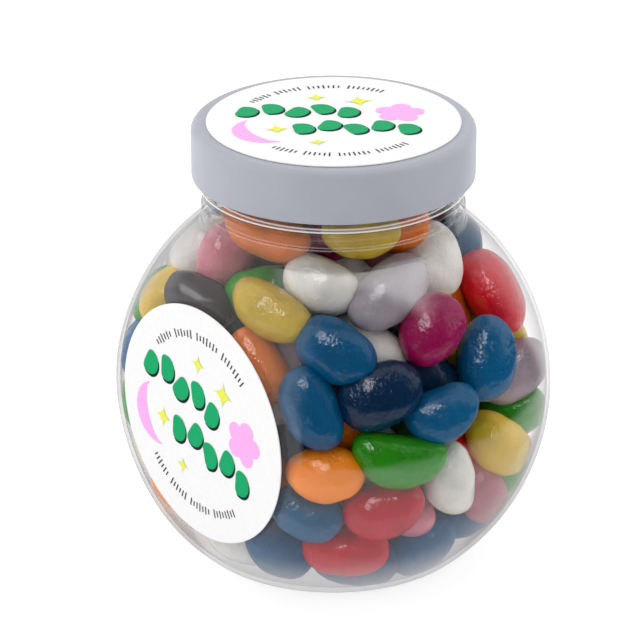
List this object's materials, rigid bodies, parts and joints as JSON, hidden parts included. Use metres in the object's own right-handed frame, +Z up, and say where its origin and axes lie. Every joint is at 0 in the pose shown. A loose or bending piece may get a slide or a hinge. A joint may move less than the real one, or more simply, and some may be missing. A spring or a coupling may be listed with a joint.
{
  "type": "jar of jelly beans",
  "caption": "Clear round jar with two flat sides, a flat screw lid and printed round labels, full of mixed jelly beans.",
  "frame": {"origin": "centre of the jar's flat base, on the surface that it stands on", "axes": "+Z up along the axis of the jar's neck and lid; the flat side with the label faces -Y"},
  "size_m": [0.102, 0.0794, 0.104],
  "materials": {
    "clear_plastic": "clear, glossy, slightly hazy plastic",
    "lid_plastic": "smooth satin, pale cool grey",
    "side_label_print": "white satin sticker with green, pink and yellow print",
    "lid_label_print": "white satin sticker with green, pink and yellow print",
    "bean_mix": "glossy sugar shells in blue, red, orange, yellow, green, white, pink and near black"
  },
  "bodies": {
    "root": {"jar": "clear_plastic", "lid": "lid_plastic", "side_label": "side_label_print", "lid_label": "lid_label_print", "jelly_beans": "bean_mix"}
  },
  "joints": []
}
